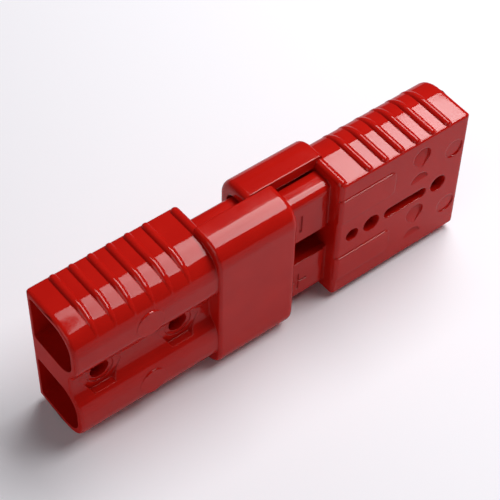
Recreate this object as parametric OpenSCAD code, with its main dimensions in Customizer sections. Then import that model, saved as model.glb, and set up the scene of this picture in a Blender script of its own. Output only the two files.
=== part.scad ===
// Genderless two-pole power connector: two identical moulded housings plugged part-way together.
// Each housing carries two silver-plated contacts on leaf springs.
// X runs along the mating direction, Y through the thickness, Z across the two contacts.
// The pair stands on the narrow sides of its hoods, with the origin under its centre.
// A half is drawn with u from its rear end, v from its flat face and w from its mid-height.

/* [Pair] */
// Length over both rear ends, as far as the pair is pushed together
pair_l = 148.4; // [141:0.1:154]

/* [Housing] */
// Length of one housing, from the rear end to the open end of its hood
housing_l = 79.4; // [78:0.1:81]
// Length of the ribbed body, from the rear end to the front of its flange
body_l = 52.5; // [51:0.1:53]
// Width of the ribbed body across the two contacts
body_w = 51.2; // [50.6:0.1:51.8]
// Thickness of the ribbed body, from the flat face to the crest of the lobes
body_t = 24.3; // [24:0.1:24.6]
// Depth of the mating plane under the flat face
mate_v = 12.3; // [12:0.1:12.6]
// Distance between the two contact axes
pole_pitch = 28.2; // [27.8:0.1:28.6]
// Radius of the lobes' rounded sides
lobe_r = 9.5; // [9.2:0.1:9.8]
// Width of the flat crest of each lobe
crest_w = 3.8; // [3.4:0.1:4.2]
// Wall round the cable cavities
wall = 2.3; // [2:0.1:2.6]
// Depth of each cable cavity
cavity_d = 27; // [20:0.5:30]

/* [Ribs] */
// Number of grip ribs on each narrow side
rib_n = 6; // [3:1:6]
// Distance from the rear end to the first rib
rib_first = 8.6; // [7:0.1:10]
// Distance between ribs
rib_pitch = 6.42; // [5.6:0.01:6.6]
// Radius of a rib's round crest
rib_r = 1.35; // [1.2:0.05:1.5]
// Height of a rib above the narrow side
rib_h = 1.1; // [0.8:0.05:1.2]

/* [Hood] */
// Overall width of the hood across the two contacts
hood_w = 55.9; // [55.4:0.1:56.6]
// Thickness of the housing from the flat face to the hood's outer face
hood_t = 25.4; // [25.2:0.1:26]
// Distance from the rear end to the hood's rear shoulder
hood_start = 49.9; // [49.4:0.1:50.2]
// Wall of the hood
hood_wall = 4.1; // [3.8:0.1:4.1]
// Radius of the hood's long outer corners
hood_r = 8; // [6:0.5:9]
// Radius of the rounded lip at the hood's open end
lip_r = 2.4; // [1.5:0.1:3]
// Radius of the rounded edge at the hood's rear shoulder
shoulder_r = 1.2; // [0.8:0.1:1.5]

/* [Tongue] */
// Distance from the rear end to the tip of the tongue
tongue_l = 78; // [76:0.1:78.4]
// Width over the tongue's two contact channels
tongue_w = 46.4; // [45.6:0.1:46.8]
// Depth of the tongue's outer face under the flat face
tongue_v = 4.3; // [4:0.1:4.6]
// Width of the slot between the two channels
tongue_gap = 10.6; // [9.6:0.1:11]

/* [Mounting] */
// Diameter of the two mounting holes
mount_d = 6.5; // [5.5:0.1:7]
// Distance from the rear end to the first mounting hole
mount_first = 10.3; // [9.8:0.1:10.8]
// Distance between the two mounting holes
mount_pitch = 28.1; // [27.6:0.1:28.6]
// Width across the flats of the hexagonal nut recesses
nut_af = 12.8; // [11.5:0.1:13.2]

/* [Contacts] */
// Depth of the crimp barrels' axis under the flat face
barrel_v = 12.9; // [12.8:0.05:13.2]
// Outer diameter of a contact's crimp barrel
barrel_d = 14; // [13:0.1:14.4]
// Bore of the crimp barrel
barrel_bore = 11.2; // [9.6:0.1:11.6]
// Depth of the crimp bore
bore_d = 20; // [14:0.5:21]
// Width of a contact blade
blade_w = 12.6; // [11.6:0.1:12.8]
// Thickness of a contact blade
blade_t = 3; // [2.6:0.1:3.2]

/* [Hidden] */
$fn = 64;

plastic_red = [0.78, 0.07, 0.05];
plated_silver = [0.80, 0.80, 0.78];
spring_steel = [0.62, 0.63, 0.64];

cut = 1;              // how far a cutter runs past the face that it opens
fit = 0.25;           // clearance round the contacts
half_w = body_w / 2;
lobe_w = pole_pitch / 2;
lobe_v = body_t - lobe_r;
edge_r = 1.0;         // rounded edges of the flat face
flange_r = 1.5;       // bead round the front of the body
flange_h = 1.1;
front_r = 1.8;        // rounded front edge of the flat face
rib_v = 1.6;          // a rib starts this far from the flat face
rib_fade = 73;        // and sinks into its lobe at this angle
lobe_out = half_w - lobe_r;
lobe_in = lobe_out - crest_w;

// Valley between the lobes: a flat floor with a fillet up into each lobe
valley_v = 19.9;
valley_r = 6;
fillet_v = valley_v + valley_r;
fillet_w = lobe_in - sqrt(pow(lobe_r + valley_r, 2) - pow(fillet_v - lobe_v, 2));
valley_half = fillet_w + (lobe_in - fillet_w) * valley_r / (lobe_r + valley_r);
valley_top = fillet_v - (fillet_v - lobe_v) * valley_r / (lobe_r + valley_r);
valley_bite = 0.01;   // the fillets just cross the lobes, so the outline has no cusp

// Front wall, hood hollow and tongue channels
bulkhead = 48.2;
hollow_start = 53;
hood_v = mate_v + 0.15;
plate_t = 2.2;
channel_w = 13;
neck_l = 1.5;
neck_d = 0.6;
tongue_edge = 3;
key_w = 4.4;
key_v = 16.5;
key_start = 52;

// Flat face: raised label pads, bare recessed discs, latch recesses, core slot
pad_h = 0.4;
pad_in = 8.4;
pad_w = 10;
pad_start = 30;
pad_r = 2;
disc_u = 5.2;
disc_w = 12.9;
disc_r = 3.6;
disc_d = 0.4;
latch_u = 19.3;
latch_w = 13.0;
latch_r = 3.6;
latch_d = 1.45;
slot_start = 15.4;
slot_end = 33.2;
slot_w = 4.3;
slot_d = 13;
pin_hole_u = 46.3;
pin_hole_r = 2.5;
pin_hole_d = 9;
nut_floor = 19.8;
nut_ring = 9.4;
lobe_disc_u = 25.9;
lobe_disc_r = 4.9;
lobe_disc_v = body_t + 0.1;
mark_u = 64;
mark_w = 0.9;
mark_l = 7.2;
mark_d = 0.35;

// Contacts
barrel_u = 27;
barrel_end = 48;
blade_tip = 76.6;
spring_u = 64;
spring_l = 20;
spring_t = 0.8;
spring_w = 10;

// ---- Placing ----------------------------------------------------------------

// Stands a half at the left, its flat face to the back
module left_half() {
    translate([-pair_l / 2, mate_v, hood_w / 2]) mirror([0, 1, 0]) children();
}

// The same half turned half a turn about the upright axis
module right_half() {
    rotate([0, 0, 180]) left_half() children();
}

// Draws a (v, w) outline and carries it along u
module along_u(from, to) {
    translate([from, 0, 0]) rotate([90, 0, 90]) linear_extrude(to - from) children();
}

// Draws a (u, v) outline and carries it along w, centred
module along_w(width) {
    translate([0, 0, -width / 2]) linear_extrude(width) children();
}

// A round bar along v
module bar_v(u, w, r, from, to) {
    translate([u, from, w]) rotate([-90, 0, 0]) cylinder(r = r, h = to - from);
}

// Both signs of w
module both_poles() {
    for (side = [-1, 1]) mirror([0, 0, side < 0 ? 1 : 0]) children();
}

// ---- Housing ----------------------------------------------------------------

// Body outline: flat face with soft edges, straight narrow sides, two lobes and the valley
module body_outline() {
    translate([edge_r, -half_w]) square([lobe_v - edge_r, body_w]);
    translate([0, -half_w + edge_r]) square([lobe_v, body_w - 2 * edge_r]);
    for (side = [-1, 1]) {
        translate([edge_r, side * (half_w - edge_r)]) circle(edge_r);
        translate([lobe_v, side * lobe_out]) circle(lobe_r);
        translate([lobe_v, side * lobe_in]) circle(lobe_r);
        translate([lobe_v, side * (lobe_in + crest_w / 2) - crest_w / 2]) square([lobe_r, crest_w]);
    }
    difference() {
        translate([lobe_v - 1, -valley_half])
            square([valley_top - lobe_v + 1, 2 * valley_half]);
        for (w = [-fillet_w, fillet_w])
            translate([fillet_v, w]) circle(valley_r + valley_bite, $fn = 120);
        translate([valley_v - valley_bite / 2, -fillet_w]) square([valley_r, 2 * fillet_w]);
    }
}

// Plan of the body, with the rounded front edge of the flat face
module body_plan() {
    square([body_l - front_r, body_t + cut]);
    translate([0, front_r]) square([body_l, body_t + cut - front_r]);
    translate([body_l - front_r, front_r]) circle(front_r);
}

// One grip rib: straight over the narrow side, then curling down into the lobe
module rib(u) {
    crest = half_w + rib_h - rib_r;
    shift = rib_h / sin(rib_fade);
    bar_v(u, crest, rib_r, rib_v, lobe_v - shift);
    translate([u, rib_v, crest]) sphere(rib_r, $fn = 32);
    translate([u, lobe_v - shift, lobe_out]) rotate([0, -90, 0])
        rotate_extrude(angle = rib_fade + 7, $fn = 96)
            translate([crest - lobe_out, 0]) circle(rib_r, $fn = 32);
}

// Bead round the narrow side at the body's front edge
module flange_bead() {
    u = body_l - flange_r;
    w = half_w + flange_h - flange_r;
    bar_v(u, w, flange_r, flange_r + 0.4, hood_v + 0.6);
    translate([u, flange_r + 0.4, w]) sphere(flange_r, $fn = 32);
}

// Hood outline, drawn in by a margin on its three outer sides and open at the mating plane
module hood_outline(margin) {
    r = hood_r - margin;
    top = hood_t - margin;
    half = hood_w / 2 - margin;
    translate([hood_v, -half]) square([top - r - hood_v, 2 * half]);
    translate([hood_v, -half + r]) square([top - hood_v, 2 * (half - r)]);
    for (side = [-1, 1]) intersection() {
        translate([top - r, side * (half - r)]) circle(r);
        translate([hood_v, -half]) square([top - hood_v, 2 * half]);
    }
}

// Rounded rim of the hood at one end, with its centre line at u
module hood_rim(u, r) {
    half = hood_w / 2;
    both_poles() {
        bar_v(u, half - r, r, hood_v, hood_t - hood_r);
        translate([u, hood_t - hood_r, half - hood_r]) rotate([0, -90, 0])
            rotate_extrude(angle = 90, $fn = 96)
                translate([hood_r - r, 0]) circle(r, $fn = 48);
    }
    translate([u, hood_t - r, -half + hood_r]) cylinder(r = r, h = hood_w - 2 * hood_r);
}

// Solid form of the hood, with its rounded lip and shoulder
module hood_form() {
    along_u(hood_start + shoulder_r, housing_l - lip_r) hood_outline(0);
    along_u(housing_l - lip_r, housing_l) hood_outline(lip_r);
    along_u(hood_start, hood_start + shoulder_r) hood_outline(shoulder_r);
    hood_rim(housing_l - lip_r, lip_r);
    hood_rim(hood_start + shoulder_r, shoulder_r);
}

// Hollow of the hood, open at the mating plane and at the front
module hood_hollow() {
    r = hood_r - hood_wall;
    top = hood_t - hood_wall;
    half = hood_w / 2 - hood_wall;
    along_u(hollow_start, housing_l + cut) {
        translate([hood_v - cut, -half]) square([top - r - hood_v + cut, 2 * half]);
        translate([hood_v - cut, -half + r]) square([top - hood_v + cut, 2 * (half - r)]);
        for (side = [-1, 1]) translate([top - r, side * (half - r)]) circle(r);
    }
}

// Outline of one contact channel of the tongue, a trough open at the mating plane
module channel_outline() {
    outer = tongue_w / 2;
    inner = tongue_gap / 2;
    difference() {
        union() {
            translate([tongue_v, inner])
                square([mate_v - 0.3 - tongue_v, outer - inner - tongue_edge]);
            translate([tongue_v + tongue_edge, inner])
                square([mate_v - 0.3 - tongue_v - tongue_edge, outer - inner]);
            translate([tongue_v + tongue_edge, outer - tongue_edge]) circle(tongue_edge);
        }
        translate([tongue_v + plate_t, lobe_w - channel_w / 2]) square([mate_v, channel_w]);
        translate([tongue_v + plate_t, inner - cut]) square([mate_v, cut + 0.8]);
    }
}

// The two channels, each with a neck at its root and a low wall at its tip
module tongue() {
    both_poles() {
        difference() {
            along_u(body_l - cut, tongue_l) channel_outline();
            translate([body_l, tongue_v - cut, 0]) cube([neck_l, cut + neck_d, tongue_w]);
        }
        translate([tongue_l - 1.2, tongue_v + 1, lobe_w - channel_w / 2 - 0.5])
            cube([1.2, plate_t + 0.6, channel_w + 1]);
    }
}

// Key on the hood's inner wall, which runs in the slot of the other tongue
module key() {
    translate([key_start, key_v, -key_w / 2])
        cube([tongue_l - key_start, hood_t - hood_wall - key_v + 0.5, key_w]);
}

// Raised pads for labels on the flat face, wrapped over its rounded front edge
module label_pads() {
    front = body_l - front_r;
    both_poles() intersection() {
        translate([0, -pad_h - cut, 0]) rotate([-90, 0, 0]) linear_extrude(front_r + 2 * cut) {
            translate([pad_start + pad_r, -pad_in - pad_w]) square([body_l - pad_start - pad_r, pad_w]);
            translate([pad_start, -pad_in - pad_w + pad_r]) square([pad_r + 1, pad_w - 2 * pad_r]);
            for (w = [pad_in + pad_r, pad_in + pad_w - pad_r])
                translate([pad_start + pad_r, -w]) circle(pad_r);
        }
        along_w(body_w) {
            translate([pad_start - cut, -pad_h]) square([front - pad_start + cut, pad_h + 0.5]);
            difference() {
                translate([front, front_r]) circle(front_r + pad_h);
                translate([body_l - 0.1, -pad_h]) square([front_r, 2 * front_r + 2 * pad_h]);
            }
        }
    }
}

// Round bare discs, just proud of the crests of the lobes
module crest_discs() {
    both_poles() bar_v(lobe_disc_u, lobe_w, lobe_disc_r, body_t - 1.6, lobe_disc_v);
}

// Cable cavity: straight on the flat side, round on the lobe side
module cavity_outline() {
    r = lobe_r - wall;
    floor_v = 2;
    inner = lobe_in - r;
    outer = lobe_out + r;
    corner = 1.2;
    translate([floor_v + corner, inner]) square([lobe_v - floor_v - corner, outer - inner]);
    translate([floor_v, inner + corner]) square([lobe_v - floor_v, outer - inner - 2 * corner]);
    for (w = [inner + corner, outer - corner]) translate([floor_v + corner, w]) circle(corner);
    for (w = [lobe_in, lobe_out]) translate([lobe_v, w]) circle(r);
    translate([lobe_v, lobe_in]) square([r, crest_w]);
}

// Way of one contact: cable cavity, seat of the crimp barrel, window into the channel
module contact_way() {
    along_u(-cut, cavity_d) cavity_outline();
    translate([cavity_d - 0.5, barrel_v, lobe_w]) rotate([0, 90, 0])
        cylinder(d = barrel_d + 2 * fit, h = bulkhead - cavity_d + 0.5);
    translate([bulkhead - cut, tongue_v + plate_t, lobe_w - channel_w / 2])
        cube([hollow_start - bulkhead + 2 * cut, mate_v - tongue_v - plate_t, channel_w]);
}

// A recess along w whose floor ramps down from the flat face, from one w to another
module ramped_recess(from, to) {
    intersection() {
        translate([latch_u, -cut, 0]) rotate([-90, 0, 0]) linear_extrude(latch_d + 2 * cut) children();
        translate([latch_u - 2 * latch_r, 0, from]) rotate([-atan(latch_d / (to - from)), 0, 0])
            translate([0, -2 * latch_d - cut, 0]) cube([4 * latch_r, 2 * latch_d + cut, to - from + cut]);
    }
}

// The two latch recesses of one contact: a shield over a half moon, both deepest at the top
module latch_recesses(w) {
    shield_w = w + 5;
    moon_w = w - 6.1;
    ramped_recess(w, shield_w + latch_r) {
        translate([0, -shield_w]) circle(latch_r);
        polygon([[-0.5, -w], [0.5, -w], [latch_r * 0.98, -shield_w + 0.7], [-latch_r * 0.98, -shield_w + 0.7]]);
    }
    ramped_recess(moon_w, moon_w + latch_r) translate([0, -moon_w]) circle(latch_r);
}

// Recessed bare disc on the flat face
module face_disc() {
    bar_v(disc_u, disc_w, disc_r, -cut, disc_d);
}

// Polarity marks sunk into the two channels' outer faces: minus above, plus below
module polarity_marks() {
    for (w = [13, -14.4])
        translate([mark_u - mark_w / 2, tongue_v - cut, w - mark_l / 2]) cube([mark_w, cut + mark_d, mark_l]);
    translate([mark_u - mark_l / 2, tongue_v - cut, -14.4 - mark_w / 2]) cube([mark_l, cut + mark_d, mark_w]);
}

// Mounting hole with a hexagonal nut recess on the lobe side
module mounting_hole(u) {
    bar_v(u, 0, mount_d / 2, -cut, body_t);
    translate([u, nut_floor, 0]) rotate([-90, 0, 0])
        cylinder(d = nut_af / cos(30), h = body_t, $fn = 6);
    bar_v(u, 0, nut_ring / 2, nut_floor - 0.3, body_t);
}

// Core slot and locating hole on the centre line of the flat face
module centre_line_cores() {
    translate([0, -cut, 0]) rotate([-90, 0, 0]) linear_extrude(slot_d + cut) {
        translate([slot_start + slot_w / 2, -slot_w / 2])
            square([slot_end - slot_start - slot_w, slot_w]);
        for (u = [slot_start + slot_w / 2, slot_end - slot_w / 2])
            translate([u, 0]) circle(d = slot_w);
    }
    bar_v(pin_hole_u, 0, pin_hole_r, -cut, pin_hole_d);
}

// One moulded housing
module housing() {
    difference() {
        union() {
            intersection() {
                along_u(0, body_l) body_outline();
                along_w(body_w + 4) body_plan();
            }
            both_poles() {
                for (i = [0 : rib_n - 1]) rib(rib_first + i * rib_pitch);
                flange_bead();
            }
            difference() {
                hood_form();
                hood_hollow();
            }
            tongue();
            key();
            label_pads();
            crest_discs();
        }
        both_poles() {
            contact_way();
            face_disc();
        }
        for (w = [-latch_w, latch_w]) latch_recesses(w);
        polarity_marks();
        for (i = [0, 1]) mounting_hole(mount_first + i * mount_pitch);
        centre_line_cores();
    }
}

// ---- Contacts ---------------------------------------------------------------

// Side view of the blade, flat on the mating plane with a full-round nose
module blade_profile() {
    r = blade_t / 2;
    translate([barrel_end - 0.6, mate_v - blade_t]) square([blade_tip - r - barrel_end + 0.6, blade_t]);
    translate([blade_tip - r, mate_v - r]) circle(r);
}

// One contact: crimp barrel, solid shank and blade
module contact() {
    translate([0, 0, lobe_w]) difference() {
        union() {
            translate([barrel_u, barrel_v, 0]) rotate([0, 90, 0])
                cylinder(d = barrel_d, h = barrel_end - barrel_u);
            along_w(blade_w) blade_profile();
        }
        translate([barrel_u - cut, barrel_v, 0]) rotate([0, 90, 0])
            cylinder(d = barrel_bore, h = bore_d + cut);
    }
}

// ---- Springs ----------------------------------------------------------------

// One bowed leaf: ends on the channel floor, crest under the blade
module leaf_spring() {
    floor_v = tongue_v + plate_t;
    rise = mate_v - blade_t - floor_v - spring_t;
    arc_r = (pow(spring_l / 2, 2) + pow(rise, 2)) / (2 * rise);
    translate([0, 0, lobe_w]) along_w(spring_w) intersection() {
        translate([spring_u - spring_l / 2, floor_v]) square([spring_l, rise + spring_t]);
        translate([spring_u, floor_v + rise - arc_r]) difference() {
            circle(arc_r + spring_t, $fn = 180);
            circle(arc_r, $fn = 180);
        }
    }
}

// ---- Nodes ------------------------------------------------------------------

module housing_left() { color(plastic_red) left_half() housing(); }
module housing_right() { color(plastic_red) right_half() housing(); }

module contact_left_upper() { color(plated_silver) left_half() contact(); }
module contact_left_lower() { color(plated_silver) left_half() mirror([0, 0, 1]) contact(); }
module contact_right_upper() { color(plated_silver) right_half() contact(); }
module contact_right_lower() { color(plated_silver) right_half() mirror([0, 0, 1]) contact(); }

module spring_left_upper() { color(spring_steel) left_half() leaf_spring(); }
module spring_left_lower() { color(spring_steel) left_half() mirror([0, 0, 1]) leaf_spring(); }
module spring_right_upper() { color(spring_steel) right_half() leaf_spring(); }
module spring_right_lower() { color(spring_steel) right_half() mirror([0, 0, 1]) leaf_spring(); }

housing_left();
housing_right();
contact_left_upper();
contact_left_lower();
contact_right_upper();
contact_right_lower();
spring_left_upper();
spring_left_lower();
spring_right_upper();
spring_right_lower();
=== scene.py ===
import math
import bpy
import bmesh
from mathutils import Matrix, Vector


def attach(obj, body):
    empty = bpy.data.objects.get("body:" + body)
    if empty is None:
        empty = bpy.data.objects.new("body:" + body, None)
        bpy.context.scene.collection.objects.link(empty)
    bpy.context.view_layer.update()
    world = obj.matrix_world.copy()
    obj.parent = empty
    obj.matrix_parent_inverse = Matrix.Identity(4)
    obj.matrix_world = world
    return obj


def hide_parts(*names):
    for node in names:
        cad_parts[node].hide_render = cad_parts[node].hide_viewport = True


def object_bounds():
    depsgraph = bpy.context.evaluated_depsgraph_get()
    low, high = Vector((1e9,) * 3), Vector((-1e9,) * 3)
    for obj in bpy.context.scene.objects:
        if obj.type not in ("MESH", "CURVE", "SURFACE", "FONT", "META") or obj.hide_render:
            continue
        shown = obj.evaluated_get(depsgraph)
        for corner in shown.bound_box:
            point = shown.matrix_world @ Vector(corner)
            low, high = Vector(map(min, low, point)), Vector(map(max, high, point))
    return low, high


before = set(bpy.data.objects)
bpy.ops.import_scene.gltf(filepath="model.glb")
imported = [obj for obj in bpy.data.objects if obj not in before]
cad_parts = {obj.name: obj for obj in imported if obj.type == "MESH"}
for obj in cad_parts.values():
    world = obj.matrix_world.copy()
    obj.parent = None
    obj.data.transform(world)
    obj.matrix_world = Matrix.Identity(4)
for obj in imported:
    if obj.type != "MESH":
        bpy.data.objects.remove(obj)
cad_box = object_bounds()

# ---- Camera -----------------------------------------------------------------
# A long lens on a stand, above the left half and a little to the near side.
# The pair runs away from it from the lower left to the upper right.
lens = bpy.data.cameras.new("camera")
lens.lens = 113.56
lens.sensor_width = 36.0
lens.sensor_fit = "HORIZONTAL"
lens.clip_start = 0.01
camera = bpy.data.objects.new("camera", lens)
camera_place = (-0.1993, -0.2415, 0.4005)
camera_right = Vector((0.78894, -0.61421, 0.01786))
camera_up = Vector((0.46090, 0.61073, 0.64388))
camera_back = Vector((-0.40638, -0.49975, 0.76492))
turn = Matrix((camera_right, camera_up, camera_back)).transposed().to_4x4()
camera.matrix_world = Matrix.Translation(camera_place) @ turn
bpy.context.scene.collection.objects.link(camera)
bpy.context.scene.camera = camera

# ---- Housings ---------------------------------------------------------------
# Each half is one injection moulding in red polycarbonate, glossy from a polished mould that
# parts along the middle of the narrow sides. Two of them are pushed together to make the pair.
rear_end = cad_box[1].x
mid_height = cad_box[1].z / 2
flat_face = 0.0123
parting = 0.0128
draft_angle = math.radians(1.5)
draft_from, narrow_side = 0.0234, 0.0256
hood_rear = 0.04991
body_front = 0.05251
flange_depth = 0.0125
rear_round, rear_inset = 0.0014, 0.00095
ring_angles = (12, 27, 43, 60, 75, 90)
crease_angle = math.radians(28)


def hex_colour(text):
    """An sRGB hex value as the linear colour that a shader socket wants."""
    channels = [int(text[i:i + 2], 16) / 255 for i in (1, 3, 5)]
    linear = [c / 12.92 if c <= 0.04045 else ((c + 0.055) / 1.055) ** 2.4 for c in channels]
    return (*linear, 1.0)


def add_node(tree, kind, values=None, links=None, **settings):
    """Adds a node, sets its own settings and input values, and links what feeds it."""
    node = tree.nodes.new(kind)
    for name, value in settings.items():
        setattr(node, name, value)
    for name, value in (values or {}).items():
        node.inputs[name].default_value = value
    for name, source in (links or {}).items():
        tree.links.new(source, node.inputs[name])
    return node


def new_material(name):
    """An empty node material with its output."""
    material = bpy.data.materials.new(name)
    material.use_nodes = True
    material.node_tree.nodes.clear()
    output = material.node_tree.nodes.new("ShaderNodeOutputMaterial")
    return material, material.node_tree, output


def joined_copy(node_name, piece_name, finish, shape=None):
    """A piece in its finish: the node's loose triangles merged, then smooth below the crease angle."""
    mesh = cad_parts[node_name].data.copy()
    mesh.materials.clear()
    mesh.materials.append(finish)
    form = bmesh.new()
    form.from_mesh(mesh)
    bmesh.ops.remove_doubles(form, verts=form.verts, dist=1e-6)
    bmesh.ops.dissolve_degenerate(form, dist=1e-7, edges=form.edges)
    kept_sharp = shape(form) if shape else (lambda edge: False)
    for face in form.faces:
        face.smooth = True
    for edge in form.edges:
        smooth = len(edge.link_faces) == 2 and edge.calc_face_angle(0) < crease_angle
        edge.smooth = smooth and not kept_sharp(edge)
    form.to_mesh(mesh)
    form.free()
    mesh.name = piece_name
    piece = bpy.data.objects.new(piece_name, mesh)
    bpy.context.scene.collection.objects.link(piece)
    # Large flat faces keep their own normal beside a small rounding
    weighting = piece.modifiers.new("flat_faces_first", "WEIGHTED_NORMAL")
    weighting.keep_sharp = True
    weighting.weight = 100
    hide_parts(node_name)
    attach(piece, "root")
    return piece


def moulded_shape(side):
    """Shaping of one housing: a rounded rear edge, and draft off the parting line.

    A point of the half is taken as u from its rear end, v from its flat face and w from
    its mid-height, like in the CAD source.
    """
    sign = -1 if side == "left" else 1

    def half_place(point):
        return rear_end - sign * point.x, flat_face + sign * point.y, point.z - mid_height

    def cut_across(form, normal, place):
        everything = form.verts[:] + form.edges[:] + form.faces[:]
        bmesh.ops.bisect_plane(form, geom=everything, dist=1e-6, plane_no=normal, plane_co=place)

    def rear_skin(form):
        """The run of faces round the rear end's outside, found from one on a narrow side."""
        near = {face for face in form.faces
                if abs(face.normal.x) < 0.3 and half_place(face.calc_center_median())[0] < rear_round}
        start = max(near, key=lambda face: abs(half_place(face.calc_center_median())[2]))
        skin, still_open = {start}, [start]
        while still_open:
            for edge in still_open.pop().edges:
                for other in edge.link_faces:
                    if other in near and other not in skin:
                        skin.add(other)
                        still_open.append(other)
        return skin

    def shape(form):
        # The parting line runs round the body in one plane
        cut_across(form, (0, 1, 0), (0, sign * (parting - flat_face), 0))
        # Rings of edges for the rounding of the rear end
        for angle in ring_angles:
            u = rear_round * (1 - math.cos(math.radians(angle)))
            cut_across(form, (1, 0, 0), (sign * (rear_end - u), 0, 0))
        form.normal_update()
        inward = {}
        for face in rear_skin(form):
            for corner in face.loops:
                push = inward.setdefault(corner.vert, Vector((0.0, 0.0, 0.0)))
                push += Vector((0.0, face.normal.y, face.normal.z)) * corner.calc_angle()
        for vert, push in inward.items():
            u = max(0.0, half_place(vert.co)[0])
            if u < rear_round:
                drop = rear_inset * (1 - math.sqrt(max(0.0, 1 - ((rear_round - u) / rear_round) ** 2)))
                vert.co -= push.normalized() * drop
        # The body's narrow sides lean in from the parting line, and the hood stays straight
        for vert in form.verts:
            u, v, w = half_place(vert.co)
            on_body = u < hood_rear or (u < body_front and v < flange_depth)
            if on_body and abs(w) > draft_from:
                share = min(1.0, (abs(w) - draft_from) / (narrow_side - draft_from))
                vert.co.z -= math.copysign(share * math.tan(draft_angle) * abs(v - parting), w)
        form.normal_update()

        def on_parting_line(edge):
            places = [half_place(vert.co) for vert in edge.verts]
            return all(abs(v - parting) < 2e-6 and abs(w) > 0.025 for u, v, w in places)
        return on_parting_line
    return shape


# Red polycarbonate, injection moulded: deep gloss, with a faint waviness about a centimetre
# across, a fine orange peel about a millimetre across, and very small rounded edges.
red, tree, output = new_material("red_polycarbonate")
place = add_node(tree, "ShaderNodeTexCoord")
sink_marks = add_node(tree, "ShaderNodeTexNoise", {"Scale": 1000 / 11.1, "Detail": 2.0, "Roughness": 0.45},
                      {"Vector": place.outputs["Object"]})
orange_peel = add_node(tree, "ShaderNodeTexNoise", {"Scale": 1000 / 1.11, "Detail": 2.0, "Roughness": 0.5},
                       {"Vector": place.outputs["Object"]})
edge_round = add_node(tree, "ShaderNodeBevel", {"Radius": 0.0005}, samples=8)
waves = add_node(tree, "ShaderNodeBump", {"Strength": 0.10, "Distance": 0.0006},
                 {"Height": sink_marks.outputs["Fac"], "Normal": edge_round.outputs["Normal"]})
peel = add_node(tree, "ShaderNodeBump", {"Strength": 0.03, "Distance": 0.0001},
                {"Height": orange_peel.outputs["Fac"], "Normal": waves.outputs["Normal"]})
tint = add_node(tree, "ShaderNodeValToRGB", links={"Fac": sink_marks.outputs["Fac"]})
tint.color_ramp.elements[0].position = 0.35
tint.color_ramp.elements[0].color = hex_colour("#ba140c")
tint.color_ramp.elements[1].position = 0.70
tint.color_ramp.elements[1].color = hex_colour("#c1170e")
gloss = add_node(tree, "ShaderNodeMapRange", {"To Min": 0.06, "To Max": 0.10},
                 {"Value": sink_marks.outputs["Fac"]})
# The flat rear ends are duller than the polished sides
axes = add_node(tree, "ShaderNodeSeparateXYZ", links={"Vector": place.outputs["Object"]})
from_middle = add_node(tree, "ShaderNodeMath", operation="ABSOLUTE")
tree.links.new(axes.outputs["X"], from_middle.inputs[0])
at_rear_end = add_node(tree, "ShaderNodeMapRange",
                       {"From Min": rear_end - 0.0004, "From Max": rear_end - 0.0001},
                       {"Value": from_middle.outputs["Value"]})
dullness = add_node(tree, "ShaderNodeMix", {"B": 0.42}, data_type="FLOAT")
tree.links.new(at_rear_end.outputs["Result"], dullness.inputs["Factor"])
tree.links.new(gloss.outputs["Result"], dullness.inputs["A"])
sheen = add_node(tree, "ShaderNodeMapRange", {"To Min": 0.30, "To Max": 0.08},
                 {"Value": at_rear_end.outputs["Result"]})
shader = add_node(tree, "ShaderNodeBsdfPrincipled", {"IOR": 1.585},
                  {"Base Color": tint.outputs["Color"], "Roughness": dullness.outputs["Result"],
                   "Specular IOR Level": sheen.outputs["Result"], "Normal": peel.outputs["Normal"]})
tree.links.new(shader.outputs["BSDF"], output.inputs["Surface"])

for side in ("left", "right"):
    housing = joined_copy(f"housing_{side}", f"housing_{side}_moulding", red, moulded_shape(side))

# ---- Contacts ---------------------------------------------------------------
# Four copper contacts, each with its crimp barrel, shank and blade in one piece, silver plated.
# The barrel sits in the housing's seat and the blade lies in the tongue over its spring.

# Silver plating over fine brushing: bright but not mirror smooth. The brushing is drawn
# 0.4 mm wide and 17 mm long, coarser than the real one, so that it shows.
silver, tree, output = new_material("silver_plating")
place = add_node(tree, "ShaderNodeTexCoord")
brushing = add_node(tree, "ShaderNodeMapping", links={"Vector": place.outputs["Object"]})
brushing.inputs["Scale"].default_value = (1000 / 16.7, 1000 / 0.4, 1000 / 0.4)
grain = add_node(tree, "ShaderNodeTexNoise", {"Scale": 1.0, "Detail": 3.0},
                 {"Vector": brushing.outputs["Vector"]})
grain_bump = add_node(tree, "ShaderNodeBump", {"Strength": 0.08, "Distance": 0.00005},
                      {"Height": grain.outputs["Fac"]})
tone = add_node(tree, "ShaderNodeValToRGB", links={"Fac": grain.outputs["Fac"]})
tone.color_ramp.elements[0].color = hex_colour("#bdb9b0")
tone.color_ramp.elements[1].color = hex_colour("#dedbd2")
dull = add_node(tree, "ShaderNodeMapRange", {"To Min": 0.26, "To Max": 0.40},
                {"Value": grain.outputs["Fac"]})
shader = add_node(tree, "ShaderNodeBsdfPrincipled", {"Metallic": 1.0},
                  {"Base Color": tone.outputs["Color"], "Roughness": dull.outputs["Result"],
                   "Normal": grain_bump.outputs["Normal"]})
tree.links.new(shader.outputs["BSDF"], output.inputs["Surface"])

for side in ("left", "right"):
    for level in ("upper", "lower"):
        contact = joined_copy(f"contact_{side}_{level}", f"contact_{side}_{level}_plated", silver)

# ---- Springs ----------------------------------------------------------------
# Four bowed strips of stainless spring steel, cut from rolled strip, one under each blade.
# They sit in the tongue's channels and press the blades of a mated pair together.

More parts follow.
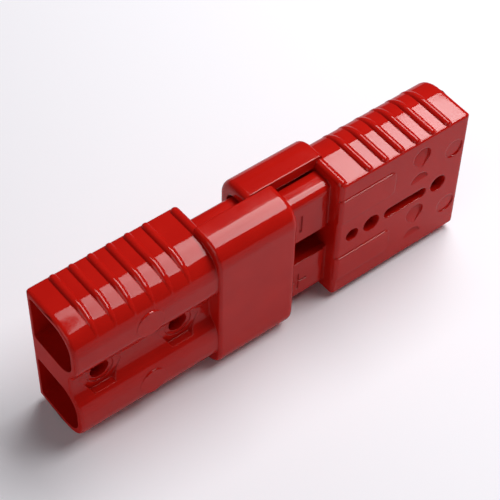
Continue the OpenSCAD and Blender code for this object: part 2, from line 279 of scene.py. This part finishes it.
# Rolled steel: bright, with fine streaks along the strip. They are drawn 0.29 mm wide,
# coarser than the real ones, so that they show.
steel, tree, output = new_material("rolled_spring_steel")
place = add_node(tree, "ShaderNodeTexCoord")
rolling = add_node(tree, "ShaderNodeMapping", links={"Vector": place.outputs["Object"]})
rolling.inputs["Scale"].default_value = (1000 / 25, 1000 / 25, 1000 / 0.286)
streaks = add_node(tree, "ShaderNodeTexNoise", {"Scale": 1.0, "Detail": 2.0},
                   {"Vector": rolling.outputs["Vector"]})
streak_bump = add_node(tree, "ShaderNodeBump", {"Strength": 0.06, "Distance": 0.00003},
                       {"Height": streaks.outputs["Fac"]})
shine = add_node(tree, "ShaderNodeMapRange", {"To Min": 0.22, "To Max": 0.34},
                 {"Value": streaks.outputs["Fac"]})
shader = add_node(tree, "ShaderNodeBsdfPrincipled",
                  {"Metallic": 1.0, "Base Color": hex_colour("#a9abad")},
                  {"Roughness": shine.outputs["Result"], "Normal": streak_bump.outputs["Normal"]})
tree.links.new(shader.outputs["BSDF"], output.inputs["Surface"])

for side in ("left", "right"):
    for level in ("upper", "lower"):
        spring = joined_copy(f"spring_{side}_{level}", f"spring_{side}_{level}_strip", steel)

# ---- Floor and lights -------------------------------------------------------
# A pale matt table, one large softbox overhead to the right of the pair, and a wide fill
# from the left, and hardly any light from the room.
form = bmesh.new()
bmesh.ops.create_grid(form, x_segments=1, y_segments=1, size=3.0)
table_mesh = bpy.data.meshes.new("table")
form.to_mesh(table_mesh)
form.free()
table = bpy.data.objects.new("table", table_mesh)
bpy.context.scene.collection.objects.link(table)

# White paint, rolled on: matt, with a hardly visible change of tone every third of a metre
paint, tree, output = new_material("white_table_paint")
place = add_node(tree, "ShaderNodeTexCoord")
mottle = add_node(tree, "ShaderNodeTexNoise", {"Scale": 1000 / 333, "Detail": 2.0},
                  {"Vector": place.outputs["Object"]})
pale = add_node(tree, "ShaderNodeValToRGB", links={"Fac": mottle.outputs["Fac"]})
pale.color_ramp.elements[0].color = hex_colour("#f8f6fb")
pale.color_ramp.elements[1].color = hex_colour("#fbf9fe")
# Reflections see a darker table: painted shade, seen only in reflections, which stands in for a flag
# beside the lens
rays = add_node(tree, "ShaderNodeLightPath")
shade = add_node(tree, "ShaderNodeMix", data_type="RGBA")
seen_directly, seen_reflected, mixed_colour = shade.inputs[6], shade.inputs[7], shade.outputs[2]
tree.links.new(rays.outputs["Is Glossy Ray"], shade.inputs[0])
tree.links.new(pale.outputs["Color"], seen_directly)
seen_reflected.default_value = hex_colour("#b4b0b4")
shader = add_node(tree, "ShaderNodeBsdfPrincipled", {"Roughness": 0.7, "Specular IOR Level": 0.2},
                  {"Base Color": mixed_colour})
tree.links.new(shader.outputs["BSDF"], output.inputs["Surface"])
table.data.materials.append(paint)

world = bpy.data.worlds.new("studio")
bpy.context.scene.world = world
world.use_nodes = True
room = world.node_tree.nodes["Background"]
room.inputs["Color"].default_value = hex_colour("#f6f4fa")
room.inputs["Strength"].default_value = 0.05


def softbox(name, place, aim, width, height, watts):
    """A rectangular area light that points at a place."""
    light = bpy.data.lights.new(name, "AREA")
    light.shape = "RECTANGLE"
    light.size = width
    light.size_y = height
    light.energy = watts
    lamp = bpy.data.objects.new(name, light)
    direction = Vector(aim) - Vector(place)
    lamp.matrix_world = Matrix.Translation(place) @ direction.to_track_quat("-Z", "Y").to_matrix().to_4x4()
    bpy.context.scene.collection.objects.link(lamp)
    return light


overhead = softbox("overhead_softbox", place=(0.385, 0.0225, 0.75), aim=(0.385, 0.0225, 0.0),
                   width=0.47, height=0.845, watts=1.03)
softbox("side_softbox", place=(-0.85, -0.15, 0.45), aim=(0.0, 0.0, 0.03),
        width=0.9, height=0.7, watts=2.0)
# The overhead softbox gets brighter towards its right end
overhead.use_nodes = True
tree = overhead.node_tree
across = add_node(tree, "ShaderNodeNewGeometry")
along = add_node(tree, "ShaderNodeSeparateXYZ", links={"Vector": across.outputs["Parametric"]})
brightness = add_node(tree, "ShaderNodeMapRange", {"To Min": 4.3, "To Max": 13.5},
                      {"Value": along.outputs["X"]})
tree.links.new(brightness.outputs["Result"], tree.nodes["Emission"].inputs["Strength"])
# Colours go to the picture without a film curve
bpy.context.scene.view_settings.view_transform = "Standard"

bpy.context.view_layer.update()
